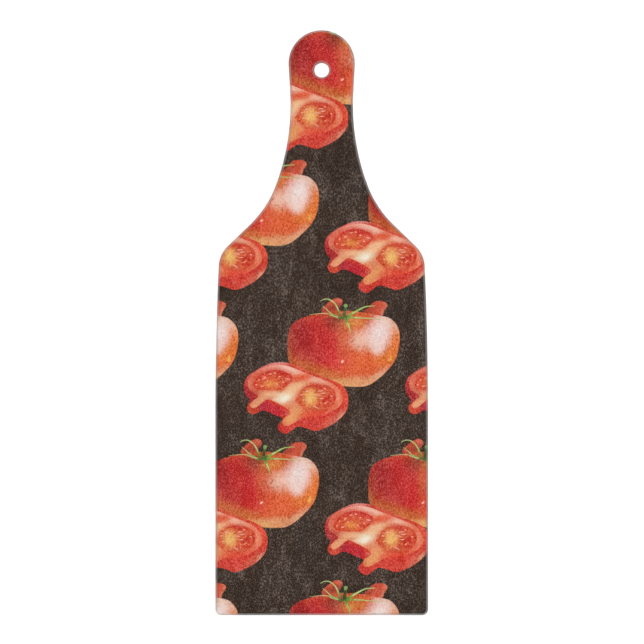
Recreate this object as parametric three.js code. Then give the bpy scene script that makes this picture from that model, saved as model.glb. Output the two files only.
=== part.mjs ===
// Glass serving board: a paddle-shaped pane of tempered glass with a hang hole in its handle. A picture
// layer and a protective coat lie on its underside, and it stands on four soft feet, each held by an
// adhesive disc.
//
// Millimetres. +Z is up and the handle points along +Y. The origin is under the middle of the board, on
// the surface that the feet stand on. Left and right are seen from above with the handle pointing away.

import * as THREE from 'three';

// Outline of the glass. A lean is the direction of travel down the right side, in degrees off straight
// down, and positive away from the middle line.
const LENGTH = 400;
const WIDTH = 145.4;
const HEAD_RADIUS = 22.7;
const NECK_LEAN = -3.3;
const NECK_RUN = 18;
const FLARE_RADIUS = 156;
const FLARE_LEAN = 21;
const HOLLOW_RADIUS = 71;
const SLOPE_LEAN = 46;
const SHOULDER_RADIUS = 20;
const SIDE_LEAN = 2.6;
const SIDE_RADIUS = 2200;
const CORNER_RADIUS = 4;
const ACROSS = 90;
const CHORD_ERROR = 0.04;

// Hang hole in the head of the handle
const HOLE_RADIUS = 5;
const HOLE_BELOW_TOP = 27.2;
const HOLE_Y = LENGTH / 2 - HOLE_BELOW_TOP;
const HOLE_STEPS = 32;

// The stack, from the surface that the feet stand on up to the cutting face
const FOOT_HEIGHT = 3;
const ADHESIVE_THICKNESS = 0.25;
const COAT_THICKNESS = 0.125;
const PICTURE_THICKNESS = 0.125;
const GLASS_THICKNESS = 4;
const COAT_BOTTOM = FOOT_HEIGHT + ADHESIVE_THICKNESS;
const PICTURE_BOTTOM = COAT_BOTTOM + COAT_THICKNESS;
const GLASS_BOTTOM = PICTURE_BOTTOM + PICTURE_THICKNESS;

// Ground edge of the glass, and how far the layers under it stop short of its outline
const EDGE_ROUND = 1;
const EDGE_STEPS = 3;
const PICTURE_INSET = 1;
const COAT_INSET = 1.25;

// Feet
const FOOT_RADIUS = 6;
const FOOT_EDGE_ROUND = 2;
const FOOT_EDGE_STEPS = 4;
const ADHESIVE_RADIUS = 5.5;
const ROUND_STEPS = 24;
const FOOT_SIDES = { left: -60, right: 60 };
const FOOT_ROWS = { base: -186, shoulder: 24 };

const MATERIALS = {
  glass: { color: 0xdfe9e4, roughness: 0.06, metalness: 0, transparent: true, opacity: 0.35 },
  picture: { color: 0x8e3a2a, roughness: 0.55, metalness: 0 },
  coat: { color: 0xe9e7e2, roughness: 0.6, metalness: 0 },
  rubber: { color: 0xd5d9da, roughness: 0.35, metalness: 0 },
  adhesive: { color: 0xf2f0ea, roughness: 0.5, metalness: 0 },
};

function namedMesh(name, geometry, materialName) {
  const mesh = new THREE.Mesh(geometry, new THREE.MeshStandardMaterial(MATERIALS[materialName]));
  mesh.name = name;
  return mesh;
}

// The step along an arc from one lean to another. Where the lean falls the edge bulges out, and where
// it grows the edge is hollow.
function arcStep(radius, fromLean, toLean) {
  const from = THREE.MathUtils.degToRad(fromLean);
  const to = THREE.MathUtils.degToRad(toLean);
  const signedRadius = toLean < fromLean ? radius : -radius;
  return new THREE.Vector2(Math.cos(to) - Math.cos(from), Math.sin(to) - Math.sin(from))
    .multiplyScalar(signedRadius);
}

// Walks down the right side of an outline and keeps its points.
class SideWalk {
  constructor(start, lean) {
    this.points = [start];
    this.lean = lean;
  }

  straight(length) {
    const angle = THREE.MathUtils.degToRad(this.lean);
    const step = new THREE.Vector2(Math.sin(angle), -Math.cos(angle)).multiplyScalar(length);
    this.points.push(this.points.at(-1).clone().add(step));
    return this;
  }

  arc(radius, toLean) {
    const start = this.points.at(-1);
    const turn = toLean - this.lean;
    const widestStep = THREE.MathUtils.radToDeg(2 * Math.acos(1 - CHORD_ERROR / radius));
    const steps = Math.ceil(Math.abs(turn) / widestStep);
    for (let i = 1; i <= steps; i += 1) {
      const lean = this.lean + (turn * i) / steps;
      this.points.push(start.clone().add(arcStep(radius, this.lean, lean)));
    }
    this.lean = toLean;
    return this;
  }
}

// The right side of the board's outline, kept a distance inside the edge of the glass. Every stretch
// meets the next one without a kink, so an inset only changes the radii.
function rightSide(inset) {
  const shoulder = arcStep(SHOULDER_RADIUS - inset, SLOPE_LEAN, SIDE_LEAN);
  const side = arcStep(SIDE_RADIUS - inset, SIDE_LEAN, 0);
  const walk = new SideWalk(new THREE.Vector2(0, LENGTH / 2 - inset), ACROSS)
    .arc(HEAD_RADIUS - inset, NECK_LEAN)
    .straight(NECK_RUN)
    .arc(FLARE_RADIUS + inset, FLARE_LEAN)
    .arc(HOLLOW_RADIUS + inset, SLOPE_LEAN);
  const widthLeft = WIDTH / 2 - inset - walk.points.at(-1).x - shoulder.x - side.x;
  walk.straight(widthLeft / Math.sin(THREE.MathUtils.degToRad(SLOPE_LEAN)))
    .arc(SHOULDER_RADIUS - inset, SIDE_LEAN)
    .arc(SIDE_RADIUS - inset, 0);
  walk.straight(walk.points.at(-1).y + LENGTH / 2 - CORNER_RADIUS)
    .arc(CORNER_RADIUS - inset, -ACROSS);
  return walk.points;
}

function boardShape(inset) {
  const right = rightSide(inset);
  const left = right.slice(1).reverse().map((point) => new THREE.Vector2(-point.x, point.y));
  const shape = new THREE.Shape([...right, ...left]);
  const hole = new THREE.Path();
  hole.absarc(0, HOLE_Y, HOLE_RADIUS + inset, 0, 2 * Math.PI);
  shape.holes.push(hole);
  return shape;
}

function glassPane() {
  const geometry = new THREE.ExtrudeGeometry(boardShape(0), {
    depth: GLASS_THICKNESS - 2 * EDGE_ROUND,
    curveSegments: HOLE_STEPS / 2,
    bevelThickness: EDGE_ROUND,
    bevelSize: EDGE_ROUND,
    bevelOffset: -EDGE_ROUND,
    bevelSegments: EDGE_STEPS,
  });
  const pane = namedMesh('glass_pane', geometry, 'glass');
  pane.position.z = GLASS_BOTTOM + EDGE_ROUND;
  return pane;
}

function layer(name, inset, bottom, thickness, materialName) {
  const geometry = new THREE.ExtrudeGeometry(boardShape(inset), {
    depth: thickness,
    curveSegments: HOLE_STEPS / 2,
    bevelEnabled: false,
  });
  const sheet = namedMesh(name, geometry, materialName);
  sheet.position.z = bottom;
  return sheet;
}

// A round foot with a flat contact face and a rounded lower edge.
function foot(name) {
  const profile = [new THREE.Vector2(0, 0)];
  for (let i = 0; i <= FOOT_EDGE_STEPS; i += 1) {
    const angle = (Math.PI / 2) * (i / FOOT_EDGE_STEPS - 1);
    profile.push(new THREE.Vector2(
      FOOT_RADIUS + FOOT_EDGE_ROUND * (Math.cos(angle) - 1),
      FOOT_EDGE_ROUND * (Math.sin(angle) + 1),
    ));
  }
  profile.push(new THREE.Vector2(FOOT_RADIUS, FOOT_HEIGHT));
  profile.push(new THREE.Vector2(0, FOOT_HEIGHT));
  const geometry = new THREE.LatheGeometry(profile, ROUND_STEPS);
  geometry.rotateX(Math.PI / 2);
  return namedMesh(name, geometry, 'rubber');
}

function adhesiveDisc(name) {
  const geometry = new THREE.CylinderGeometry(
    ADHESIVE_RADIUS,
    ADHESIVE_RADIUS,
    ADHESIVE_THICKNESS,
    ROUND_STEPS,
  );
  geometry.rotateX(Math.PI / 2);
  const disc = namedMesh(name, geometry, 'adhesive');
  disc.position.z = FOOT_HEIGHT + ADHESIVE_THICKNESS / 2;
  return disc;
}

function feet() {
  const group = new THREE.Group();
  for (const [row, y] of Object.entries(FOOT_ROWS)) {
    for (const [side, x] of Object.entries(FOOT_SIDES)) {
      const stand = new THREE.Group();
      stand.add(foot(`foot_${row}_${side}`), adhesiveDisc(`adhesive_${row}_${side}`));
      stand.position.set(x, y, 0);
      group.add(stand);
    }
  }
  return group;
}

const board = new THREE.Group();
board.add(
  glassPane(),
  layer('picture_layer', PICTURE_INSET, PICTURE_BOTTOM, PICTURE_THICKNESS, 'picture'),
  layer('backing_coat', COAT_INSET, COAT_BOTTOM, COAT_THICKNESS, 'coat'),
  feet(),
);

export default board;
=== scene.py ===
"""Looks of a paddle-shaped glass cutting board with a tomato print on its underside.

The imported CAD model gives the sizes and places. The glass, the printed ink and the feet are new pieces in
the space of their CAD nodes, and the protective coat keeps its CAD mesh and gets a finish.
"""

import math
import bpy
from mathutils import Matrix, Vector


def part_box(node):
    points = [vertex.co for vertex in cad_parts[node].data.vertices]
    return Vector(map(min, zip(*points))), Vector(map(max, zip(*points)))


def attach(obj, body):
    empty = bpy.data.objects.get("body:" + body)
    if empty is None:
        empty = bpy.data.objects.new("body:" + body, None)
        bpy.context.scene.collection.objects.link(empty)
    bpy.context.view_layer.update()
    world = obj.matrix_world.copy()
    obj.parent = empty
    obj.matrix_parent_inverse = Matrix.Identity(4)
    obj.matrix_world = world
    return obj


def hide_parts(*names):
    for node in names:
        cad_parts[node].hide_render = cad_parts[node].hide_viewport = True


bl_info = {
    "name": "Printed Glass Board",
    "version": (1, 0, 0),
    "blender": (4, 5, 0),
    "location": "3D View > Sidebar > Glass Board",
    "description": "Makes the glass, print, feet and stage of a paddle-shaped glass cutting board",
    "category": "Add Mesh",
}

import bmesh
import bpy
from mathutils import Matrix, Vector, geometry

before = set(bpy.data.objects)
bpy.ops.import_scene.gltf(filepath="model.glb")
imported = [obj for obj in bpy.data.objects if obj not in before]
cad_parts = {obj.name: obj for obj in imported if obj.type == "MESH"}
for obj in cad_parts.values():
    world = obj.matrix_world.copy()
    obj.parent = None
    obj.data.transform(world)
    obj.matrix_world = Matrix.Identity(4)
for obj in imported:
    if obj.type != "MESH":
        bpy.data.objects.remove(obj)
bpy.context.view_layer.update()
PANE_LOW, PANE_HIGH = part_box("glass_pane")
INK_LOW, INK_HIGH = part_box("picture_layer")
FOOT_NODES = [name for name in sorted(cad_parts) if name.startswith("foot_")]

MM = 0.001

# A quarter turn in degrees, which is also the lean of an edge that runs straight across the board
ACROSS = 90.0

# How far off level the glass faces where its rounding starts
EDGE_START = math.radians(35)

# A glass face whose normal rises more than FLAT is clear, more than STEEP is ground band, and else side
FLAT = 0.999
STEEP = 0.5

# The ground of the print mirrors itself on upright lines: the place of one, and the distance between them
MIRROR_LINE = -25.8 * MM
MIRROR_SPACING = 35.9 * MM

PICTURE_MAP = "picture"


# ---------------------------- settings


def tone(code):
    """A colour as a shader uses it, from its hexadecimal display code."""
    channels = [int(code[i:i + 2], 16) / 255 for i in (0, 2, 4)]
    return [c / 12.92 if c <= 0.04045 else ((c + 0.055) / 1.055) ** 2.4 for c in channels]


def length_setting(name, description, millimetres):
    return bpy.props.FloatProperty(
        name=name, description=description, default=millimetres * MM, subtype="DISTANCE", unit="LENGTH",
        precision=5)


def angle_setting(name, description, degrees):
    return bpy.props.FloatProperty(
        name=name, description=description, default=math.radians(degrees), subtype="ANGLE", unit="ROTATION")


def colour_setting(name, description, code):
    return bpy.props.FloatVectorProperty(
        name=name, description=description, default=tone(code), subtype="COLOR", size=3, min=0, max=1)


def plain_setting(name, description, value):
    return bpy.props.FloatProperty(name=name, description=description, default=value)


class PaneSettings(bpy.types.PropertyGroup):
    """Outline and edge of the glass. Its length, width and thickness come from the frame."""

    head_radius: length_setting("Head radius", "Round end of the handle", 22.7)
    neck_run: length_setting("Neck run", "Straight tapering side below the head", 18)
    flare_radius: length_setting("Flare radius", "Hollow side where the handle widens", 156)
    hollow_radius: length_setting("Hollow radius", "Tighter hollow above the shoulder", 71)
    shoulder_radius: length_setting("Shoulder radius", "Corner of the shoulder", 20)
    side_radius: length_setting("Side radius", "Slight bow of the long side", 2200)
    corner_radius: length_setting("Corner radius", "Corners of the foot end", 4)
    neck_lean: angle_setting("Neck lean", "Taper of the handle below its head", -3.3)
    flare_lean: angle_setting("Flare lean", "Lean of the side where the hollow tightens", 21)
    slope_lean: angle_setting("Slope lean", "Lean of the sloping shoulder", 46)
    side_lean: angle_setting("Side lean", "Lean of the side below the shoulder", 2.6)
    hole_radius: length_setting("Hole radius", "Hang hole", 5)
    hole_below_top: length_setting("Hole below top", "From the end of the handle to the hole", 27.2)
    top_round: length_setting("Top edge", "Width of the ground band round the upper face", 1.35)
    bottom_round: length_setting("Bottom edge", "Width of the ground band round the lower face", 0.55)
    tint: colour_setting("Glass tint", "Colour of the glass", "fbfefc")
    band_tint: colour_setting("Band tint", "Ground band round each face", "d6d3d0")
    wall_tint: colour_setting("Wall tint", "Ground side of the pane", "9cb0a5")
    pebble: length_setting("Pebble", "Size of the bumps on the cutting face", 1.6)


class PictureSettings(bpy.types.PropertyGroup):
    """The repeat of the print, and its inks."""

    repeat_across: length_setting("Repeat across", "Distance between tomatoes in a row", 110.5)
    repeat_down: length_setting("Repeat down", "Distance between rows", 96.6)
    first_x: length_setting("First stalk X", "Stalk of the tomato nearest the middle", 16.2)
    first_y: length_setting("First stalk Y", "Stalk of the tomato nearest the middle", 12.1)
    ground: colour_setting("Ground", "Dark ground of the picture", "392a22")
    # Pale flecks of the ground: the print's dots, and painted glints of light off the pebbled glass
    ground_dots_and_glints: colour_setting("Ground fleck", "Pale flecks in the ground", "a28e86")
    skin: colour_setting("Skin", "Main orange-red of the whole tomato", "d25c34")
    half_skin: colour_setting("Half skin", "Outer side of the half tomato", "cf402f")
    flesh: colour_setting("Flesh", "Cut flesh of the half tomato", "da7856")
    gel: colour_setting("Gel", "Seed chambers of the half tomato", "cb3626")
    seed: colour_setting("Seed", "Seeds of the half tomato", "e6a78a")
    sepal: colour_setting("Sepal", "Green of the stalk and sepals", "7c9648")


class FootSettings(bpy.types.PropertyGroup):
    """The self-adhesive feet. Their places and outer sizes come from the frame."""

    edge_round: length_setting("Foot edge", "Rounding of the lower edge", 2)
    neck: length_setting("Foot neck", "Rounding of the upper edge", 0.35)
    tint: colour_setting("Rubber", "Translucent rubber", "dfe3e4")


class StageSettings(bpy.types.PropertyGroup):
    """Floor, lights and camera."""

    lens: plain_setting("Lens", "Focal length in millimetres", 100)
    framed: length_setting("Framed width", "Width of the view at the board", 440.8)
    shift_x: length_setting("View X", "Middle of the view", 0.2)
    shift_y: length_setting("View Y", "Middle of the view", 0.5)
    floor_colour: colour_setting("Floor", "Pale floor", "dedede")
    lamp_power: plain_setting("Lamp power", "Power of each lamp in watts", 4.2)


# ---------------------------- shader maths


# Size of the flecks in the inks, and of the drift that gathers them
FLECK_SIZE = 1.2 * MM
DRIFT_SIZE = 8 * MM

# How much brighter an ink is than the colour it should show under the glass
PRINT_BOOST = 1.12

# What the glass does to the light of the lamps that passes through it
LAMPLIGHT_TINT = (0.96, 0.97, 0.965)


class Wire:
    """A shader socket that takes part in Python arithmetic. A vector adds Vector Math nodes."""

    def __init__(self, shading, socket):
        self.shading = shading
        self.socket = socket

    def _work(self, operation, first, second):
        is_vector = self.socket.type == "VECTOR"
        kind = "ShaderNodeVectorMath" if is_vector else "ShaderNodeMath"
        return self.shading.add(kind, {"operation": operation}, {0: first, 1: second})

    def __add__(self, other):
        return self._work("ADD", self, other)

    def __radd__(self, other):
        return self._work("ADD", other, self)

    def __sub__(self, other):
        return self._work("SUBTRACT", self, other)

    def __rsub__(self, other):
        return self._work("SUBTRACT", other, self)

    def __mul__(self, other):
        return self._work("MULTIPLY", self, other)

    def __rmul__(self, other):
        return self._work("MULTIPLY", other, self)


class Shading:
    """Adds and links the nodes of one node tree."""

    def __init__(self, tree):
        self.tree = tree

    def plug(self, socket, value):
        """Links a wire to a socket, or sets the socket's own value."""
        if isinstance(value, Wire):
            self.tree.links.new(value.socket, socket)
        elif socket.type == "RGBA":
            socket.default_value = (*value[:3], 1)
        elif socket.type == "VECTOR" and isinstance(value, (int, float)):
            socket.default_value = (value, value, value)
        else:
            socket.default_value = value

    def add(self, kind, settings=None, inputs=None, output=0):
        """Adds a node of this type: first its settings, then the values or links of its sockets."""
        node = self.tree.nodes.new(kind)
        for name, value in (settings or {}).items():
            if name == "stops":
                self.set_stops(node.color_ramp, value)
            else:
                setattr(node, name, value)
        for key, value in (inputs or {}).items():
            self.plug(node.inputs[key], value)
        return Wire(self, node.outputs[output])

    @staticmethod
    def set_stops(ramp, stops):
        while len(ramp.elements) < len(stops):
            ramp.elements.new(1)
        for element, (place, colour) in zip(ramp.elements, stops):
            element.position = place
            element.color = (*colour[:3], 1)


class Finish(Shading):
    """One material, built node by node around its Principled shader."""

    def __init__(self, name, **surface):
        self.material = bpy.data.materials.new(name)
        self.material.use_nodes = True
        super().__init__(self.material.node_tree)
        self.shader = self.tree.nodes["Principled BSDF"]
        self.output = self.tree.nodes["Material Output"]
        for socket, value in surface.items():
            self.surface(socket.replace("_", " "), value)

    def surface(self, socket, value):
        self.plug(self.shader.inputs[socket], value)

    def object_place(self):
        return self.add("ShaderNodeTexCoord", output="Object")

    def picture_place(self):
        """Millimetres right of and above the stalk of the tomato that a spot of print belongs to."""
        return self.add("ShaderNodeUVMap", {"uv_map": PICTURE_MAP})

    def mix(self, share, below, above, blend="MIX"):
        settings = {"data_type": "RGBA", "blend_type": blend}
        return self.add("ShaderNodeMix", settings, {"Factor": share, 6: below, 7: above}, 2)

    def noise(self, place, size, detail=2.0, roughness=0.5, distortion=0.0):
        """Smooth noise around 0.5 whose lumps are about as wide as size, in the place's own unit."""
        return self.add(
            "ShaderNodeTexNoise", None,
            {"Vector": place, "Scale": 1 / size, "Detail": detail, "Roughness": roughness,
             "Distortion": distortion})

    def ease(self, value, low, high, out_low=0.0, out_high=1.0):
        """Rises smoothly from out_low to out_high as the value goes from low to high."""
        return self.add(
            "ShaderNodeMapRange", {"interpolation_type": "SMOOTHSTEP"},
            {"Value": value, "From Min": low, "From Max": high, "To Min": out_low, "To Max": out_high})

    def stretched(self, place, across, along):
        """The place seen through a pattern that is drawn out by these factors."""
        inputs = {"Vector": place, "Scale": (across, along, 1)}
        return self.add("ShaderNodeMapping", {"vector_type": "TEXTURE"}, inputs)

    def warped(self, place, reach, size):
        """The place pushed about by up to half of reach, in lumps of this size."""
        swirl = self.add(
            "ShaderNodeTexNoise", None, {"Vector": place, "Scale": 1 / size, "Detail": 3.0}, "Color")
        push = self.add("ShaderNodeVectorMath", {"operation": "SUBTRACT"}, {0: swirl, 1: 0.5})
        return place + push * reach

    def patch(self, place, centre, size, turn=0.0, soft=0.4):
        """1 inside a soft-edged ellipse, and 0 outside it."""
        local = self.add(
            "ShaderNodeMapping", {"vector_type": "TEXTURE"},
            {"Vector": place, "Location": (*centre, 0), "Rotation": (0, 0, math.radians(turn)),
             "Scale": (*size, 1)})
        distance = self.add("ShaderNodeVectorMath", {"operation": "LENGTH"}, {0: local}, "Value")
        return self.ease(distance, 1 - soft, 1 + soft, 1, 0)

    def painted(self, place, base, touches):
        """The base colour with soft touches of paint over it, in order."""
        colour = base
        for code, centre, size, turn, soft, strength in touches:
            share = self.patch(place, centre, size, turn, soft) * strength
            colour = self.mix(share, colour, tone(code))
        return colour

    def parts(self, place):
        """The X and Y of a place."""
        return [self.add("ShaderNodeSeparateXYZ", None, {0: place}, axis) for axis in "XY"]

    def joined(self, across, along):
        return self.add("ShaderNodeCombineXYZ", None, {0: across, 1: along})

    def flecked(self, colour, fleck, deep, pale, dark):
        """Fine pale and deep flecks, which the print's dots give every ink. The pale ones are also a
        painted highlight: the glints of lamplight that the pebbled glass over the print would catch.

        Pale and dark are how strong each kind is, and the deep ones are weaker in a pale colour.
        """
        place = self.object_place()
        dots = self.noise(self.stretched(place, 0.85, 1.3), FLECK_SIZE, 2.0, 0.62)
        drift = self.noise(self.stretched(place, 1, 2.6), DRIFT_SIZE, 3.0, 0.6, 0.8)
        uneven = dots + (drift - 0.5) * 0.4
        green = self.add("ShaderNodeSeparateColor", None, {0: colour}, "Green")
        depth = self.ease(uneven, 0.54, 0.32) * self.ease(green, 0.6, 0.15, 0.4, 1) * dark
        shaded = self.mix(depth, colour, deep, "MULTIPLY")
        # Pale flecks screened over the colour: the print's dots, and painted glints of the pebbled glass
        return self.mix(self.ease(uneven, 0.46, 0.74) * pale, shaded, fleck, "SCREEN")

    def printed(self, colour, fleck, deep, pale, dark):
        """Sets a flecked colour, a little stronger than asked, because the glass over a print dulls it."""
        vivid = self.add("ShaderNodeHueSaturation", None, {"Color": colour, "Value": PRINT_BOOST})
        self.surface("Base Color", self.flecked(vivid, fleck, deep, pale, dark))

    def mottled(self, drift, low, high, first, second):
        """Sets a colour that goes from the first to the second as the drift goes from low to high."""
        self.surface("Base Color", self.mix(self.ease(drift, low, high), first, second))

    def rays(self, place, centre, count):
        """Noise in streaks that run outwards from a centre."""
        local = place - (*centre, 0)
        angle = self.add("ShaderNodeTexGradient", {"gradient_type": "RADIAL"}, {"Vector": local}, "Fac")
        reach = self.add("ShaderNodeVectorMath", {"operation": "LENGTH"}, {0: local}, "Value")
        return self.noise(self.joined(angle * count, reach * 0.3), 1)

    def bumped(self, height, distance, strength):
        self.surface("Normal", self.add(
            "ShaderNodeBump", None, {"Height": height, "Distance": distance, "Strength": strength}))

    def open_to_lamps(self):
        """Lets light from the lamps through to what lies under the glass."""
        path = self.add("ShaderNodeLightPath", output="Is Shadow Ray")
        clear = self.add("ShaderNodeBsdfTransparent", None, {"Color": LAMPLIGHT_TINT})
        solid = Wire(self, self.shader.outputs[0])
        both = self.add("ShaderNodeMixShader", None, {0: path, 1: solid, 2: clear})
        self.plug(self.output.inputs["Surface"], both)


# ---------------------------- finishes


def clear_glass(pane):
    """Clear tempered glass with a finely pebbled face."""
    finish = Finish("clear_glass", Base_Color=pane.tint, Roughness=0.06, IOR=1.5, Transmission_Weight=1.0)
    place = finish.object_place()
    pebbles = finish.noise(place, pane.pebble, 1.5, 0.4)
    waves = finish.noise(place, pane.pebble * 6, 1.0, 0.5)
    finish.bumped(pebbles * 0.7 + waves * 0.3, 0.05 * MM, 0.35)
    finish.open_to_lamps()
    return finish.material


def frosted_glass(name, tint, clearness):
    """Ground glass, which is part clear and part grey."""
    finish = Finish(name, Base_Color=tint, IOR=1.5, Transmission_Weight=clearness)
    place = finish.object_place()
    grit = finish.noise(place, 0.35 * MM, 2.0, 0.6)
    finish.surface("Roughness", finish.ease(grit, 0.3, 0.7, 0.3, 0.45))
    finish.bumped(grit, 0.02 * MM, 0.4)
    finish.open_to_lamps()
    return finish.material


def new_ink(name):
    """An ink lies against the glass, so it has no shine of its own."""
    return Finish(name, Roughness=0.8, Specular_IOR_Level=0)


def ground_ink(picture):
    """Dark brown with flecks, which drift in upright columns that mirror each other."""
    finish = new_ink("ground_ink")
    across, along = finish.parts(finish.object_place())
    folded = finish.add(
        "ShaderNodeMath", {"operation": "PINGPONG"}, {0: across - MIRROR_LINE, 1: MIRROR_SPACING})
    place = finish.joined(folded, along)
    column = finish.ease(folded, 0.1 * MIRROR_SPACING, 0.9 * MIRROR_SPACING, 0.06, -0.03)
    cloud = finish.noise(finish.stretched(place, 1, 2), 15 * MM, 4.0, 0.6, 0.9) + column
    shade = finish.mix(finish.ease(cloud, 0.46, 0.62), picture.ground, tone("3d302a"))
    shade = finish.mix(finish.ease(cloud, 0.46, 0.34), shade, tone("33261e"))
    # Strength of the pale flecks, which are print dots and painted glints of the pebbled glass, stronger
    # where the ground is lighter
    pale = finish.ease(cloud, 0.36, 0.62, 0.22, 0.5)
    shade = finish.flecked(shade, picture.ground_dots_and_glints, tone("c8c4c0"), pale, dark=0.3)
    finish.surface("Base Color", shade)
    return finish.material


# Colour of the pale flecks on the reds: the print's dots, and a painted highlight for the glints of the
# pebbled glass
RED_DOTS_AND_GLINTS = tone("b0605a")
RED_DEPTH = tone("dab4b0")


def red_ink(name, base, touches, reach, size, pale, dark, fleck=RED_DOTS_AND_GLINTS):
    """A flecked red with touches of paint, which are pushed about by up to half of reach."""
    finish = new_ink(name)
    place = finish.warped(finish.picture_place(), reach, size)
    finish.printed(finish.painted(place, base, touches), fleck, RED_DEPTH, pale, dark)
    return finish.material


# Touches of paint: colour, middle, half width and half height, turn, softness and strength
SKIN_TOUCHES = (
    ("be2f2f", (-19, -26), (17.5, 21), 0, 0.35, 1.0),
    ("992125", (-33, -18), (9, 15), 8, 0.7, 0.9),
    ("98362a", (-37, -28), (3.5, 10), 4, 0.8, 0.7),
    ("c6282b", (-6, -35), (10.4, 10.4), 12, 0.7, 0.88),
    ("ae3834", (-26, -34), (10, 7), 0, 0.9, 0.6),
    ("ba5c30", (-26, -45.4), (21, 6.6), -20, 0.5, 0.95),
    ("c86c38", (-9, -50.6), (14, 5), -16, 0.6, 0.85),
    ("b0663a", (-39, -36), (2.2, 7), 4, 0.7, 0.8),
    ("84382a", (-5.5, -12), (8, 5.4), -6, 0.8, 0.8),
    ("6e3a28", (-3.4, -9.4), (4, 2.6), 0, 0.8, 0.7),
    ("c8583a", (-1, -25), (5, 11), 2, 0.8, 0.85),
    ("cf7a3e", (6.6, -12.4), (8, 4.4), 0, 0.8, 0.9),
    ("d98a40", (3.6, -14.6), (3, 2), 0, 0.8, 0.6),
    ("b8502c", (-4, -5.6), (16, 1.6), 0, 0.6, 0.7),
    ("dc6234", (16, -38), (15, 8), 8, 0.8, 0.75),
    ("dd7c36", (27, -35), (7, 8), 30, 0.8, 0.8),
    ("e08040", (33.6, -22), (4.4, 15), -7, 0.6, 0.9),
    ("e07630", (33.4, -28), (2.4, 8), -10, 0.8, 0.7),
    ("dcb29c", (28.5, -10.4), (9, 4.6), -26, 0.6, 0.9),
    ("dfa284", (35.6, -15), (2, 5), 4, 0.8, 0.6),
    ("db8e6a", (13, -24.5), (12, 8), 0, 0.6, 0.65),
    ("e4b8a8", (11, -24), (6.4, 5.6), 10, 0.8, 0.9),
    ("ead9d8", (23.2, -19.4), (7.4, 9.4), -12, 0.8, 0.97),
    ("e6cdc8", (22, -28), (4.4, 5.6), 0, 0.7, 0.85),
    ("d99a6c", (8, -54), (21, 5), 6, 0.55, 0.9),
    ("dca684", (22, -49.6), (10, 3), 41, 0.7, 0.8),
    ("d6a060", (-4, -54.4), (9, 3), -14, 0.7, 0.7),
    ("e6be58", (30.6, -37.2), (0.9, 2.2), -24, 0.8, 0.75),
    ("d8a03e", (3, -12.8), (3.6, 1.2), 4, 0.9, 0.4),
    ("da5a46", (-3.4, -40.2), (3.4, 2.2), 24, 0.5, 0.4),
    ("c53a34", (-3.6, -40), (2.4, 1.4), 24, 0.6, 0.8),
    ("f4c0ac", (-1.8, -38.7), (0.9, 0.7), 20, 0.6, 0.95),
    ("98503c", (5.2, -24), (0.6, 1.7), -24, 0.6, 0.65),
    ("a8604e", (9, -28.3), (0.8, 0.5), 0, 0.7, 0.6),
    ("b89088", (21.2, -20.8), (0.9, 0.6), 0, 0.7, 0.5),
)


def skin_ink(picture):
    """The whole tomato: crimson on its left, orange-red on its right, with a pale window of light."""
    return red_ink("tomato_skin_ink", picture.skin, SKIN_TOUCHES, 3.2, 6, pale=0.68, dark=1.0)


LOBE_TOUCHES = (
    ("8e3a28", (-8, -2), (8, 2.6), 24, 0.8, 0.8),
    ("8e3a2a", (14, -3.6), (4, 2.6), 20, 0.8, 0.7),
    ("d4705a", (-3.6, 4), (2.6, 2.2), 0, 0.8, 0.8),
    ("d2745a", (27.6, 0.4), (1.6, 4), -6, 0.8, 0.8),
    ("d08468", (25.4, -5.4), (1.2, 3), -14, 0.8, 0.7),
    ("a8402e", (18.6, -2), (2, 3), -40, 0.8, 0.5),
)


def lobe_ink():
    return red_ink("tomato_lobe_ink", tone("c5503a"), LOBE_TOUCHES, 2, 4, pale=0.5, dark=0.7)


SEPAL_TOUCHES = (
    ("b7bb7c", (-13, 2), (8, 4), -30, 0.5, 0.85),
    ("c3b184", (-18, -5), (9, 3.4), 0, 0.6, 0.85),
    ("c2a862", (19, -9.5), (9, 1.6), 0, 0.6, 0.8),
    ("a9b45c", (16, -2), (7, 3), 20, 0.6, 0.6),
    ("88a63c", (4, -7), (5, 3), 20, 0.7, 0.6),
    ("3c5a28", (-1.6, -8), (3.6, 2.6), 0, 0.7, 0.85),
    ("33452a", (-0.6, -4.4), (2.2, 3.6), 0, 0.5, 0.9),
    ("88a566", (0.3, -0.3), (1.7, 1.5), 0, 0.4, 0.9),
)


def sepal_ink(picture):
    """Green that is dark at the hub of the calyx and pale at the tips."""
    finish = new_ink("sepal_ink")
    place = finish.picture_place()
    shade = finish.painted(place, picture.sepal, SEPAL_TOUCHES)
    # The pale flecks are the print's dots and painted glints of the pebbled glass
    finish.printed(shade, tone("a0a880"), tone("b8c4a0"), pale=0.3, dark=0.8)
    return finish.material


def rib_ink():
    """The pale line of light along each sepal."""
    finish = new_ink("sepal_rib_ink")
    drift = finish.noise(finish.object_place(), 3 * MM)
    finish.mottled(drift, 0.35, 0.65, tone("a9c070"), tone("d3d9a6"))
    return finish.material


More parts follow.
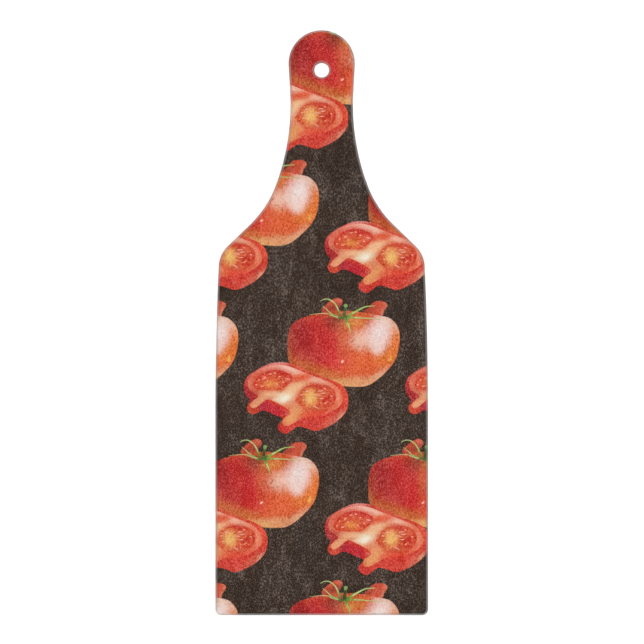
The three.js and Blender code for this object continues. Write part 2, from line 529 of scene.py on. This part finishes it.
HALF_SKIN_TOUCHES = (
    ("a2282e", (-67, -62), (7, 8), 0, 0.5, 1.0),
    ("c02e38", (-70, -52), (4, 7), -10, 0.8, 0.8),
    ("c8605a", (-62, -46), (9, 2.6), 36, 0.8, 0.8),
    ("d88480", (-47, -39.4), (11, 2.2), 4, 0.8, 0.9),
    ("cf5c44", (-26, -45), (14, 2), -26, 0.8, 0.6),
    ("be2b38", (-50, -72), (9, 4.6), -26, 0.5, 1.0),
    ("a3263a", (-57.5, -70), (2.6, 3.6), -30, 0.8, 0.8),
    ("d2645c", (-39.5, -74), (1.6, 1.4), 0, 0.8, 0.9),
    ("c2452e", (-64, -71), (5, 4), 30, 0.6, 0.9),
    ("cc3c36", (-42, -85), (6, 4.6), 20, 0.6, 0.9),
    ("e0523a", (0.4, -58), (3.6, 9), 16, 0.8, 0.9),
    ("c8302a", (-12, -75), (12, 2), 24, 0.8, 0.8),
    ("cc6450", (-7, -78.6), (11, 3), 38, 0.7, 0.85),
    ("c8403a", (-24, -81.5), (12, 3), -10, 0.8, 0.6),
    ("dc9c84", (-3.4, -76), (3, 1.2), 46, 0.8, 0.8),
)


def half_skin_ink(picture):
    return red_ink("half_skin_ink", picture.half_skin, HALF_SKIN_TOUCHES, 2.4, 5, pale=0.68, dark=1.0)


FLESH_TOUCHES = (
    ("e2a492", (-48, -43.6), (17, 4.6), -4, 0.6, 0.92),
    ("e8bcac", (-39, -43.2), (7, 2.2), -14, 0.8, 0.8),
    ("d98468", (-63.6, -50), (3.4, 8), -30, 0.8, 0.8),
    ("cc3c2e", (-50, -51), (15.4, 8.6), -4, 0.3, 0.75),
    ("e4ac96", (-22, -50.4), (12, 2.6), -24, 0.7, 0.88),
    ("bc4e3e", (-61, -60.6), (6.4, 3.6), -40, 0.7, 0.85),
    ("d4603e", (-43, -57.6), (5, 1.6), 30, 0.8, 0.7),
    ("d65a36", (-18, -73.4), (20, 3.2), -4, 0.7, 0.85),
    ("e4b28a", (-35, -57), (11, 4.2), 42, 0.7, 0.95),
    ("d84e2e", (-30, -49.8), (8, 2.7), 14, 0.7, 0.92),
    ("e4b48c", (-48, -62), (9, 3), -4, 0.7, 0.85),
    ("e2d0b4", (-42, -63.6), (6.4, 3.6), 14, 0.7, 0.95),
    ("e8e0d4", (-41.6, -63.8), (3.4, 1.8), 14, 0.8, 0.85),
    ("de9e74", (-59.4, -66.8), (7.4, 3.1), 40, 0.7, 0.92),
    ("d0765a", (-52, -64), (4, 1), 20, 0.8, 0.5),
    ("d98a66", (-35, -69.6), (5, 3.6), -40, 0.7, 0.8),
    ("de9a62", (-37.4, -76.6), (9, 3.4), 38, 0.7, 0.92),
    ("cc6444", (-42.6, -80.6), (2, 2), 0, 0.8, 0.6),
    ("d63e2a", (-17, -76.2), (12.4, 2.4), 0, 0.7, 0.9),
    ("c62e26", (-18.8, -63.8), (13.6, 10), -4, 0.25, 0.85),
    ("d86c4c", (-6, -61), (4, 7.6), 4, 0.7, 0.9),
    ("e08a70", (-5.2, -63), (1.4, 6), 2, 0.8, 0.7),
    ("d86a4a", (-9.4, -70.6), (5, 1.4), 44, 0.8, 0.6),
    ("e04c30", (-2.6, -58), (1.6, 6), 24, 0.8, 0.8),
)


def flesh_ink(picture):
    # The pale flecks are the print's dots and painted glints of the pebbled glass
    return red_ink(
        "half_flesh_ink", picture.flesh, FLESH_TOUCHES, 2.6, 4, pale=0.5, dark=0.5, fleck=tone("b0786c"))


# Middle and half size of the pulp in each seed chamber, and the streaks round it
PULP = (((-50.8, -53), (11, 6)), ((-23.8, -63.4), (15, 8)))
PULP_STREAKS = 34
GEL_TOUCHES = (
    ("b82c28", (-50, -46), (11, 1.6), -2, 0.8, 0.7),
    ("d6683a", (-50.6, -53.6), (7.4, 3.8), 0, 0.8, 0.8),
    ("e29a48", (-51.4, -54.2), (3.4, 1.8), 0, 0.9, 0.7),
    ("d86a5c", (-40, -50.8), (3, 2), -30, 0.8, 0.6),
    ("c02c22", (-14.4, -65), (7, 6.4), 0, 0.8, 0.75),
    ("da7844", (-24.4, -63.6), (6.6, 6.6), 0, 0.7, 0.9),
    ("e8bc72", (-23.8, -63.4), (3.6, 4.8), 0, 0.8, 0.97),
    ("c24232", (-20, -55.2), (9, 1.2), 0, 0.8, 0.7),
    ("d6764e", (-13.6, -59.6), (5, 1.6), 8, 0.9, 0.45),
    ("cf6440", (-19, -71), (8, 1.6), 0, 0.8, 0.7),
)


def gel_ink(picture):
    """The seed chambers, with streaks that run out from the pale pulp in their middles."""
    finish = new_ink("seed_chamber_ink")
    flat_place = finish.picture_place()
    place = finish.warped(flat_place, 2, 3)
    shade = finish.painted(place, picture.gel, GEL_TOUCHES)
    for middle, half_size in PULP:
        streak = finish.rays(place, middle, PULP_STREAKS)
        near = finish.patch(flat_place, middle, half_size)
        shade = finish.mix(finish.ease(streak, 0.5, 0.66) * near * 0.55, shade, tone("e48e5c"))
        shade = finish.mix(finish.ease(streak, 0.46, 0.32) * near * 0.6, shade, tone("9c2620"))
    # The pale flecks are the print's dots and painted glints of the pebbled glass
    finish.printed(shade, tone("b0705c"), RED_DEPTH, pale=0.55, dark=0.7)
    return finish.material


def seed_ink(picture):
    finish = new_ink("seed_ink")
    tint = finish.noise(finish.object_place(), 2.5 * MM, 1.0)
    finish.mottled(tint, 0.35, 0.65, picture.seed, tone("eeb1a4"))
    return finish.material


def coat_finish():
    finish = Finish("white_coat", Roughness=0.62, IOR=1.45)
    place = finish.object_place()
    cloud = finish.noise(place, 22 * MM, 3.0, 0.6)
    peel = finish.noise(place, 0.9 * MM)
    finish.mottled(cloud, 0.3, 0.7, tone("eeece7"), tone("e3e1dc"))
    finish.surface("Roughness", finish.ease(peel, 0.3, 0.7, 0.52, 0.7))
    finish.bumped(peel, 0.02 * MM, 0.6)
    return finish.material


def rubber_finish(feet):
    finish = Finish("clear_rubber", IOR=1.41, Transmission_Weight=0.35)
    place = finish.object_place()
    cloud = finish.noise(place, 4 * MM)
    grain = finish.noise(place, 0.5 * MM, 2.0, 0.6)
    finish.mottled(cloud, 0.35, 0.65, feet.tint, tone("cfd5d6"))
    finish.surface("Roughness", finish.ease(grain, 0.3, 0.7, 0.3, 0.45))
    finish.bumped(grain, 0.02 * MM, 0.5)
    return finish.material


def adhesive_finish():
    finish = Finish("adhesive_film", Roughness=0.45, IOR=1.45)
    ripple = finish.noise(finish.object_place(), 1.2 * MM, 3.0, 0.6)
    finish.mottled(ripple, 0.35, 0.65, tone("f0eee6"), tone("dcd9cf"))
    finish.bumped(ripple, 0.03 * MM, 0.5)
    return finish.material


# ---------------------------- mesh helpers


# How far the steps of an arc may stray from it, and how close two points are the same
CHORD_ERROR = 0.006 * MM
SAME_SPOT = 0.001 * MM


def new_mesh(name, builder, materials=()):
    mesh = bpy.data.meshes.new(name)
    builder.to_mesh(mesh)
    builder.free()
    for material in materials:
        mesh.materials.append(material)
    return mesh


def new_object(name, data):
    made = bpy.data.objects.new(name, data)
    bpy.context.scene.collection.objects.link(made)
    return made


def shown_piece(name, builder, materials, nodes=(), smooth_angle=None):
    """Turns a bmesh into a piece that rides with the board."""
    mesh = new_mesh(name, builder, materials)
    if smooth_angle is not None:
        mesh.shade_smooth()
        mesh.set_sharp_from_angle(angle=math.radians(smooth_angle))
    piece = new_object(name, mesh)
    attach(piece, "root")
    if nodes:
        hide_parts(*nodes)
    return piece


def arc_step(radius, start_lean, end_lean):
    """The step along an arc. A falling lean bulges the edge out, and a growing one hollows it."""
    signed = radius if end_lean < start_lean else -radius
    across = math.cos(end_lean) - math.cos(start_lean)
    along = math.sin(end_lean) - math.sin(start_lean)
    return Vector((across, along)) * signed


class SideWalk:
    """Walks down the right side of the outline. Lean is the direction of travel off straight down."""

    def __init__(self, start, lean):
        self.points = [Vector(start)]
        self.lean = lean

    def straight(self, length):
        step = Vector((math.sin(self.lean), -math.cos(self.lean))) * length
        self.points.append(self.points[-1] + step)

    def arc(self, radius, end_lean):
        start = self.points[-1]
        turn = end_lean - self.lean
        steps = math.ceil(abs(turn) / (2 * math.acos(1 - CHORD_ERROR / radius)))
        for i in range(1, steps + 1):
            self.points.append(start + arc_step(radius, self.lean, self.lean + turn * i / steps))
        self.lean = end_lean


def outline_points(pane, inset):
    """The board's outline, kept a distance inside the edge of the glass."""
    half_width, top, bottom = PANE_HIGH.x, PANE_HIGH.y, PANE_LOW.y
    shoulder = arc_step(pane.shoulder_radius - inset, pane.slope_lean, pane.side_lean)
    side = arc_step(pane.side_radius - inset, pane.side_lean, 0)
    walk = SideWalk((0, top - inset), math.radians(ACROSS))
    walk.arc(pane.head_radius - inset, pane.neck_lean)
    walk.straight(pane.neck_run)
    walk.arc(pane.flare_radius + inset, pane.flare_lean)
    walk.arc(pane.hollow_radius + inset, pane.slope_lean)
    width_left = half_width - inset - walk.points[-1].x - shoulder.x - side.x
    walk.straight(width_left / math.sin(pane.slope_lean))
    walk.arc(pane.shoulder_radius - inset, pane.side_lean)
    walk.arc(pane.side_radius - inset, 0)
    walk.straight(walk.points[-1].y - bottom - pane.corner_radius)
    walk.arc(pane.corner_radius - inset, -math.radians(ACROSS))
    left = [Vector((-point.x, point.y)) for point in reversed(walk.points[1:])]
    return walk.points + left


def closed_loop(builder, points, height):
    verts = [builder.verts.new((point.x, point.y, height)) for point in points]
    return [builder.edges.new((verts[i - 1], verts[i])) for i in range(len(verts))]


def board_sheet(builder, pane, inset, height, hole_steps=96):
    """A flat sheet of the board's shape with the hang hole in it, facing up."""
    edges = closed_loop(builder, outline_points(pane, inset), height)
    centre = Vector((0, PANE_HIGH.y - pane.hole_below_top))
    radius = pane.hole_radius + inset
    turns = [2 * math.pi * i / hole_steps for i in range(hole_steps)]
    ring = [centre + Vector((math.cos(a), math.sin(a))) * radius for a in turns]
    edges += closed_loop(builder, ring, height)
    made = bmesh.ops.triangle_fill(builder, edges=edges, use_beauty=True, normal=(0, 0, 1))
    return [face for face in made["geom"] if isinstance(face, bmesh.types.BMFace)]


def raised(builder, faces, height):
    """Gives a sheet a thickness, and returns its upper faces."""
    made = bmesh.ops.extrude_face_region(builder, geom=faces, use_keep_orig=True)["geom"]
    verts = [item for item in made if isinstance(item, bmesh.types.BMVert)]
    bmesh.ops.translate(builder, verts=verts, vec=(0, 0, height))
    return [item for item in made if isinstance(item, bmesh.types.BMFace)]


def rounded_off(builder, faces, reach, steps, way):
    """Draws a flat end in by the reach along an arc, one inset for each step."""
    radius = reach / math.cos(EDGE_START)
    for i in range(steps):
        start, end = (EDGE_START + (math.pi / 2 - EDGE_START) * (i + k) / steps for k in (0, 1))
        drop = radius * (math.sin(end) - math.sin(start))
        inward = radius * (math.cos(start) - math.cos(end))
        bmesh.ops.inset_region(
            builder, faces=faces, thickness=inward, depth=0, use_boundary=True, use_even_offset=True)
        verts = {vert for face in faces for vert in face.verts}
        bmesh.ops.translate(builder, verts=list(verts), vec=(0, 0, drop * way))


def edge_height(reach):
    return reach / math.cos(EDGE_START) * (1 - math.sin(EDGE_START))


# ---------------------------- the glass


TOP_STEPS = 8
BOTTOM_STEPS = 5


def glass_mesh(pane):
    builder = bmesh.new()
    low = PANE_LOW.z + edge_height(pane.bottom_round)
    high = PANE_HIGH.z - edge_height(pane.top_round)
    bottom = board_sheet(builder, pane, 0, low)
    top = raised(builder, bottom, high - low)
    rounded_off(builder, top, pane.top_round, TOP_STEPS, 1)
    rounded_off(builder, bottom, pane.bottom_round, BOTTOM_STEPS, -1)
    bmesh.ops.recalc_face_normals(builder, faces=builder.faces)
    for face in builder.faces:
        upright = abs(face.normal.z)
        face.material_index = 0 if upright > FLAT else 1 if upright > STEEP else 2
    return builder


# ---------------------------- the print


INK_LEVELS = 9
INK_STEP = (INK_HIGH.z - INK_LOW.z) / INK_LEVELS
INK_EDGE = 0.6 * MM
TRIM_MARGIN = 1 * MM

# Rows and columns of the repeat that can reach the board
REPEATS = range(-3, 4)

# Outlines of the picture, in millimetres right of and above the tomato's stalk
TOMATO = (
    (-39.6, -30), (-38, -16), (-32, -10), (-21.5, -6.6), (-8, -4.2), (8, -4.4), (22, -7), (31, -9.4),
    (36.6, -17), (36.6, -29), (32, -41), (18.6, -53.4), (8, -56), (-9, -54), (-27, -46.4),
    (-37.6, -40.6),
)
LEFT_LOBE = (
    (-16.3, -3.8), (-13.2, 0.3), (-9.1, 3.5), (-5.6, 5), (-2.6, 3.9), (-1.9, 1.4), (-4, -1.6), (-5.6, -5),
    (-11, -9),
)
RIGHT_LOBE = (
    (12.5, -4.8), (15.6, -1.8), (19, 1.8), (23.4, 2.8), (27.4, 1.9), (28.8, -0.4), (26.6, -4), (24.6, -8),
    (17, -10),
)
HALF = (
    (-69.4, -56), (-67.7, -49.8), (-62.5, -45.6), (-55.7, -41.8), (-47.5, -39.2), (-38, -40), (-30, -43),
    (-18, -48.2), (-8, -51.8), (-2.2, -55), (0.8, -59.2), (2, -65), (0.6, -72.6), (-5, -79),
    (-12, -83.3), (-20, -86.2), (-27, -84.2), (-32.4, -83.2), (-36.4, -85.6), (-40.5, -88.2),
    (-44.6, -86.6), (-46.2, -82.8), (-42.8, -77.8), (-48.7, -75.2), (-53.6, -72.8), (-57.6, -72.3),
    (-61.4, -74.4), (-65, -74.3), (-67.4, -71), (-66.4, -67.4), (-65.4, -64.6), (-68, -62),
)
FLESH = (
    (-66.8, -54), (-65.2, -49), (-60.6, -45), (-54, -42.2), (-46, -40.9), (-38, -42.2), (-30, -45.4),
    (-18, -50), (-8.6, -54), (-3.4, -59), (-1.8, -65), (-4.4, -69.6), (-11.4, -74), (-20, -76),
    (-28, -76.8), (-34.6, -80.4), (-40, -82.8), (-43.2, -81), (-42, -77.6), (-37.6, -73.6), (-43, -69),
    (-51.8, -64.8), (-55, -65.2), (-59.6, -69), (-63.2, -70.6), (-65.4, -68.6), (-63, -65.4),
    (-59.8, -62.6), (-63, -60), (-66, -57.4),
)
LEFT_GEL = (
    (-63.2, -54.4), (-60.6, -49.6), (-55.6, -46), (-48.6, -44.3), (-41.6, -45.6), (-36.4, -49.2),
    (-38.8, -54.2), (-44.6, -58), (-50, -58.6), (-55.4, -58.2), (-60.8, -57.6),
)
RIGHT_GEL = (
    (-30.2, -58.4), (-26, -55.4), (-20, -54.4), (-12, -55.4), (-7.4, -59), (-6.6, -64.6), (-10, -69.6),
    (-17.6, -72.4), (-25.6, -72), (-31, -68.4), (-34.4, -65), (-31.4, -61.6),
)

# Spine of each green strip, from the hub outwards, with its width at the hub and at the tip
STALK = (((-0.8, -8.4), (-0.4, -5), (0, -2.2), (0.3, -0.4)), 2.4, 1.8)
SEPALS = (
    (((-3.6, -7.6), (-4.6, -3.8), (-7, 0.8), (-10.6, 3.7), (-14.4, 4), (-17, 2.6)), 1.5, 0.5),
    (((-6, -7.6), (-10, -5.6), (-12.6, -3.2), (-15.6, -0.8)), 1.1, 0.4),
    (((-6.4, -7.6), (-12.4, -6), (-18, -5.8), (-24.6, -6.6)), 0.9, 0.3),
    (((0.4, -9), (-5, -8.4), (-10.8, -6.8)), 2.0, 0.7),
    (((-0.4, -9), (4.8, -5.8), (9.5, -3.1), (14, -1.1), (20.4, -0.5)), 2.4, 0.5),
    (((0.2, -9), (6, -8.6), (14, -9), (24.4, -9.8)), 1.7, 0.5),
    (((0.2, -8.6), (1.2, -12), (2.8, -15.4), (3.6, -19.4)), 2.6, 0.4),
)
STRIP_TAPER = 0.8
RIB_SHARE = 0.36
KNOB = (0.3, -0.4)
KNOB_WIDTH = 2.6

# Each seed's middle, its length, and the way it points in degrees
SEEDS = (
    ((-51.2, -47.2), 2.4, 10), ((-48.2, -46.6), 1.8, -20), ((-55.4, -49.8), 2.4, 50),
    ((-59.2, -51.4), 1.8, 70), ((-61, -54.6), 1.6, 10), ((-57, -55.6), 2.4, 20),
    ((-46.6, -54.2), 2.0, -30), ((-42.6, -53), 1.8, -20), ((-39.4, -50.6), 3.2, -12),
    ((-45, -49), 1.6, 0), ((-53.4, -52), 1.6, 40), ((-17, -58.8), 4.2, 2),
    ((-15.4, -60.4), 3.4, 4), ((-18.6, -61.6), 4.4, -3), ((-16.2, -64), 3.0, 0),
    ((-9.6, -62.2), 1.6, -10), ((-20, -70), 4.2, -28), ((-26, -59), 3.0, 4),
    ((-29.6, -61.4), 2.0, 12), ((-28.6, -65), 1.8, 0), ((-13.6, -67), 1.8, 30),
    ((-14, -57.4), 1.8, -10),
)
SEED_WIDTH = 0.76


def bend(before, start, end, after, steps):
    """Points from start to end of a smooth curve that goes on through the spots before and after them."""
    leave, arrive = start + (end - before) / 6, end - (after - start) / 6
    return geometry.interpolate_bezier(start, leave, arrive, end, steps + 1)


def smooth_loop(points, steps=6):
    """Points along a smooth closed curve through the given ones."""
    count = len(points)
    path = []
    for i in range(count):
        path += bend(*(Vector(points[(i + k) % count]) for k in (-1, 0, 1, 2)), steps)[:-1]
    return path


def smooth_line(points, steps=5):
    """Points along a smooth open curve through the given ones."""
    spots = [Vector(point) for point in points]
    spots = [2 * spots[0] - spots[1], *spots, 2 * spots[-1] - spots[-2]]
    path = [spots[1]]
    for stretch in zip(spots, spots[1:], spots[2:], spots[3:]):
        path += bend(*stretch, steps)[1:]
    return path


def ribbon_outline(spine, hub_width, tip_width):
    """The outline of a strip that narrows along a smooth line."""
    line = smooth_line(spine)
    sides = ([], [])
    for i, spot in enumerate(line):
        along = (line[min(i + 1, len(line) - 1)] - line[max(i - 1, 0)]).normalized()
        share = i / (len(line) - 1)
        reach = (hub_width + (tip_width - hub_width) * share ** STRIP_TAPER) / 2
        across = Vector((-along.y, along.x)) * reach
        sides[0].append(spot + across)
        sides[1].append(spot - across)
    return sides[0] + sides[1][::-1]


def oval_outline(centre, length, width, turn=0.0, steps=14):
    turned = Matrix.Rotation(math.radians(turn), 2)
    angles = [2 * math.pi * i / steps for i in range(steps)]
    return [Vector(centre) + turned @ Vector((math.cos(a) * length / 2, math.sin(a) * width / 2))
            for a in angles]


def stalk_places(picture):
    """Where the stalk of each tomato of the half-drop repeat lies, in and around the board."""
    places = []
    for row in REPEATS:
        for column in REPEATS:
            shift = column + 0.5 * (row % 2)
            places.append(Vector((
                picture.first_x + picture.repeat_across * shift,
                picture.first_y + picture.repeat_down * row,
            )))
    return places


def meets_board(outline, place):
    xs = [place.x + point.x * MM for point in outline]
    ys = [place.y + point.y * MM for point in outline]
    return min(xs) < PANE_HIGH.x and max(xs) > PANE_LOW.x and min(ys) < PANE_HIGH.y and max(ys) > PANE_LOW.y


def board_cutter(pane):
    """A block of the printed area's shape, taller than the ink, that prints are trimmed with."""
    builder = bmesh.new()
    sheet = board_sheet(builder, pane, INK_EDGE, INK_LOW.z - TRIM_MARGIN)
    raised(builder, sheet, 2 * TRIM_MARGIN + INK_HIGH.z - INK_LOW.z)
    bmesh.ops.recalc_face_normals(builder, faces=builder.faces)
    return new_object("trim_block", new_mesh("trim_block", builder))


def trim(piece, pane):
    """Cuts off the print that would lie past the edge of the printed area."""
    cutter = board_cutter(pane)
    cut = piece.modifiers.new("trim", "BOOLEAN")
    cut.operation = "INTERSECT"
    cut.solver = "EXACT"
    cut.use_self = True
    cut.object = cutter
    with bpy.context.temp_override(object=piece, active_object=piece):
        bpy.ops.object.modifier_apply(modifier=cut.name)
    # The block goes with its mesh
    bpy.data.meshes.remove(cutter.data)


def print_patches(name, outlines, material, level):
    """Prints the outlines at every repeat, as one thin film of ink at its level in the stack."""
    scene = bpy.context.scene
    builder = bmesh.new()
    picture_map = builder.loops.layers.uv.new(PICTURE_MAP)
    for place in stalk_places(scene.board_picture):
        for outline in outlines:
            if not meets_board(outline, place):
                continue
            spots = [place + point * MM for point in outline]
            face = builder.faces.new([builder.verts.new((*spot, 0)) for spot in spots])
            for loop, point in zip(face.loops, outline):
                loop[picture_map].uv = point
    raised(builder, list(builder.faces), INK_STEP)
    bmesh.ops.translate(builder, verts=builder.verts, vec=(0, 0, INK_LOW.z + INK_STEP * level))
    bmesh.ops.recalc_face_normals(builder, faces=builder.faces)
    piece = shown_piece(name, builder, [material])
    trim(piece, scene.board_pane)


# ---------------------------- the feet


SMOOTH_ANGLE = 35


def spun(profile, centre, steps=64):
    """Spins a profile of (radius, height) points about an upright line through the centre."""
    builder = bmesh.new()
    verts = [builder.verts.new((centre.x + radius, centre.y, height)) for radius, height in profile]
    edges = [builder.edges.new(pair) for pair in zip(verts, verts[1:])]
    bmesh.ops.spin(
        builder, geom=verts + edges, cent=centre, axis=(0, 0, 1), angle=2 * math.pi, steps=steps,
        use_merge=True)
    bmesh.ops.remove_doubles(builder, verts=builder.verts, dist=SAME_SPOT)
    bmesh.ops.recalc_face_normals(builder, faces=builder.faces)
    return builder


def quarter(centre, radius, start, steps=8):
    """Points of a quarter circle of a profile, turning left from the start angle in degrees."""
    angles = [math.radians(start + ACROSS * i / steps) for i in range(steps + 1)]
    return [(centre[0] + radius * math.cos(a), centre[1] + radius * math.sin(a)) for a in angles]


def foot_mesh(low, high, feet):
    middle = (low + high) / 2
    reach = (high.x - low.x) / 2
    profile = [(0, low.z)]
    profile += quarter((reach - feet.edge_round, low.z + feet.edge_round), feet.edge_round, -ACROSS)
    profile += quarter((reach - feet.neck, high.z - feet.neck), feet.neck, 0, steps=4)
    profile.append((0, high.z))
    return spun(profile, Vector((middle.x, middle.y, 0)))


def disc_mesh(low, high):
    middle = (low + high) / 2
    reach = (high.x - low.x) / 2
    edge = (high.z - low.z) / 4
    profile = [(0, low.z)]
    profile += quarter((reach - edge, low.z + edge), edge, -ACROSS, steps=3)
    profile += quarter((reach - edge, high.z - edge), edge, 0, steps=3)
    profile.append((0, high.z))
    return spun(profile, Vector((middle.x, middle.y, 0)))


# ---------------------------- operators


class BOARD_OT_glass(bpy.types.Operator):
    """Makes the glass pane with its rounded edges and hang hole"""

    bl_idname = "glass_board.glass"
    bl_label = "Glass pane"

    def execute(self, context):
        pane = context.scene.board_pane
        materials = [
            clear_glass(pane),
            frosted_glass("ground_glass_band", pane.band_tint, clearness=0.78),
            frosted_glass("ground_glass_side", pane.wall_tint, clearness=0.45),
        ]
        shown_piece("glass_sheet", glass_mesh(pane), materials, ["glass_pane"], smooth_angle=40)
        return {"FINISHED"}


class BOARD_OT_ground(bpy.types.Operator):
    """Makes the dark ground of the print"""

    bl_idname = "glass_board.ground"
    bl_label = "Print ground"

    def execute(self, context):
        scene = context.scene
        builder = bmesh.new()
        raised(builder, board_sheet(builder, scene.board_pane, INK_EDGE, INK_LOW.z), INK_STEP)
        bmesh.ops.recalc_face_normals(builder, faces=builder.faces)
        shown_piece("print_ground", builder, [ground_ink(scene.board_picture)], ["picture_layer"])
        return {"FINISHED"}


class BOARD_OT_tomatoes(bpy.types.Operator):
    """Prints the whole tomatoes with their lobes, stalks and sepals"""

    bl_idname = "glass_board.tomatoes"
    bl_label = "Printed tomatoes"

    def execute(self, context):
        picture = context.scene.board_picture
        lobes = [smooth_loop(LEFT_LOBE), smooth_loop(RIGHT_LOBE)]
        print_patches("print_lobes", lobes, lobe_ink(), level=1)
        print_patches("print_tomatoes", [smooth_loop(TOMATO)], skin_ink(picture), level=2)
        strips = [ribbon_outline(*strip) for strip in SEPALS]
        green = sepal_ink(picture)
        print_patches("print_sepals", strips[0::2], green, level=3)
        print_patches("print_side_sepals", strips[1::2], green, level=4)
        ribs = [ribbon_outline(spine[1:], hub * RIB_SHARE, tip * RIB_SHARE) for spine, hub, tip in SEPALS]
        print_patches("print_ribs", ribs, rib_ink(), level=5)
        print_patches("print_stalks", [ribbon_outline(*STALK)], green, level=6)
        print_patches("print_knobs", [oval_outline(KNOB, KNOB_WIDTH, KNOB_WIDTH)], green, level=7)
        return {"FINISHED"}


class BOARD_OT_halves(bpy.types.Operator):
    """Prints the cut halves with their flesh, seed chambers and seeds"""

    bl_idname = "glass_board.halves"
    bl_label = "Printed halves"

    def execute(self, context):
        picture = context.scene.board_picture
        print_patches("print_halves", [smooth_loop(HALF)], half_skin_ink(picture), level=4)
        print_patches("print_flesh", [smooth_loop(FLESH)], flesh_ink(picture), level=5)
        chambers = [smooth_loop(LEFT_GEL), smooth_loop(RIGHT_GEL)]
        print_patches("print_chambers", chambers, gel_ink(picture), level=6)
        seeds = [oval_outline(middle, length, SEED_WIDTH, turn) for middle, length, turn in SEEDS]
        print_patches("print_seeds", seeds, seed_ink(picture), level=7)
        return {"FINISHED"}


class BOARD_OT_coat(bpy.types.Operator):
    """Finishes the white coat over the back of the print"""

    bl_idname = "glass_board.coat"
    bl_label = "White coat"

    def execute(self, context):
        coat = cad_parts["backing_coat"]
        coat.data.materials.clear()
        coat.data.materials.append(coat_finish())
        return {"FINISHED"}


class BOARD_OT_feet(bpy.types.Operator):
    """Makes the soft feet and their adhesive discs"""

    bl_idname = "glass_board.feet"
    bl_label = "Feet"

    def execute(self, context):
        feet = context.scene.board_feet
        rubber = rubber_finish(feet)
        adhesive = adhesive_finish()
        for node in FOOT_NODES:
            low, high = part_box(node)
            foot = foot_mesh(low, high, feet)
            shown_piece(f"rubber_{node}", foot, [rubber], [node], SMOOTH_ANGLE)
            disc = node.replace("foot", "adhesive")
            low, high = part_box(disc)
            shown_piece(f"film_{disc}", disc_mesh(low, high), [adhesive], [disc], SMOOTH_ANGLE)
        return {"FINISHED"}


# ---------------------------- the stage


FLOOR_SIZE = 6.0
FLOOR_GLOW = 0.85
LAMP_DISTANCE = 1.05
LAMP_HEIGHT = 1.25
LAMP_SIZE = 0.5
LAMP_TURNS = (45, 135, 225, 315)

# Brightness of the studio from the horizon up to overhead
SKY = ((0.0, 0.46), (0.45, 0.33), (1.0, 0.065))


def make_floor(stage):
    builder = bmesh.new()
    bmesh.ops.create_grid(builder, x_segments=1, y_segments=1, size=FLOOR_SIZE / 2)
    table = Finish(
        "light_table", Base_Color=stage.floor_colour, Roughness=0.9, Emission_Color=stage.floor_colour,
        Emission_Strength=FLOOR_GLOW)
    new_object("floor", new_mesh("floor", builder, [table.material]))


def make_lamps(stage):
    for number, turn in enumerate(LAMP_TURNS):
        lamp = bpy.data.lights.new(f"side_lamp_{number + 1}", "AREA")
        lamp.energy = stage.lamp_power
        lamp.size = LAMP_SIZE
        holder = new_object(lamp.name, lamp)
        angle = math.radians(turn)
        holder.location = (LAMP_DISTANCE * math.cos(angle), LAMP_DISTANCE * math.sin(angle), LAMP_HEIGHT)
        holder.rotation_euler = (-holder.location).to_track_quat("-Z", "Y").to_euler()


def make_sky():
    """Pale all round and dim overhead, so that the glass doesn't mirror a bright ceiling."""
    world = bpy.data.worlds.new("studio")
    bpy.context.scene.world = world
    world.use_nodes = True
    sky = Shading(world.node_tree)
    place = sky.add("ShaderNodeTexCoord", output="Generated")
    height = sky.add("ShaderNodeSeparateXYZ", None, {0: place}, "Z")
    greys = [(level, (grey, grey, grey)) for level, grey in SKY]
    shade = sky.add("ShaderNodeValToRGB", {"stops": greys}, {0: height})
    sky.plug(sky.tree.nodes["Background"].inputs["Color"], shade)


def make_camera(stage):
    camera = bpy.data.cameras.new("camera")
    camera.lens = stage.lens
    holder = new_object("camera", camera)
    distance = stage.framed * camera.lens / camera.sensor_width
    holder.location = (stage.shift_x, stage.shift_y, (PANE_LOW.z + PANE_HIGH.z) / 2 + distance)
    bpy.context.scene.camera = holder


class BOARD_OT_stage(bpy.types.Operator):
    """Makes the pale floor, the soft lamps and the camera over the board"""

    bl_idname = "glass_board.stage"
    bl_label = "Stage"

    def execute(self, context):
        stage = context.scene.board_stage
        make_floor(stage)
        make_lamps(stage)
        make_sky()
        make_camera(stage)
        context.scene.view_settings.view_transform = "Standard"
        return {"FINISHED"}


class BOARD_PT_panel(bpy.types.Panel):
    """Lists the steps that make the board"""

    bl_idname = "BOARD_PT_panel"
    bl_label = "Glass Board"
    bl_space_type = "VIEW_3D"
    bl_region_type = "UI"
    bl_category = "Glass Board"

    def draw(self, context):
        for operator in OPERATORS:
            self.layout.operator(operator.bl_idname)
        for name, group in SETTINGS.items():
            settings = getattr(context.scene, name)
            box = self.layout.box()
            for setting in group.__annotations__:
                box.prop(settings, setting)


SETTINGS = {
    "board_pane": PaneSettings,
    "board_picture": PictureSettings,
    "board_feet": FootSettings,
    "board_stage": StageSettings,
}
OPERATORS = (
    BOARD_OT_stage,
    BOARD_OT_glass,
    BOARD_OT_ground,
    BOARD_OT_tomatoes,
    BOARD_OT_halves,
    BOARD_OT_coat,
    BOARD_OT_feet,
)


def register():
    for group in (*SETTINGS.values(), *OPERATORS, BOARD_PT_panel):
        bpy.utils.register_class(group)
    for name, group in SETTINGS.items():
        setattr(bpy.types.Scene, name, bpy.props.PointerProperty(type=group))


def unregister():
    for name in SETTINGS:
        delattr(bpy.types.Scene, name)
    for group in (BOARD_PT_panel, *reversed(OPERATORS), *SETTINGS.values()):
        bpy.utils.unregister_class(group)


def main():
    register()
    bpy.ops.glass_board.stage()
    bpy.ops.glass_board.glass()
    bpy.ops.glass_board.ground()
    bpy.ops.glass_board.tomatoes()
    bpy.ops.glass_board.halves()
    bpy.ops.glass_board.coat()
    bpy.ops.glass_board.feet()
    bpy.context.view_layer.update()


if __name__ == "__main__":
    main()
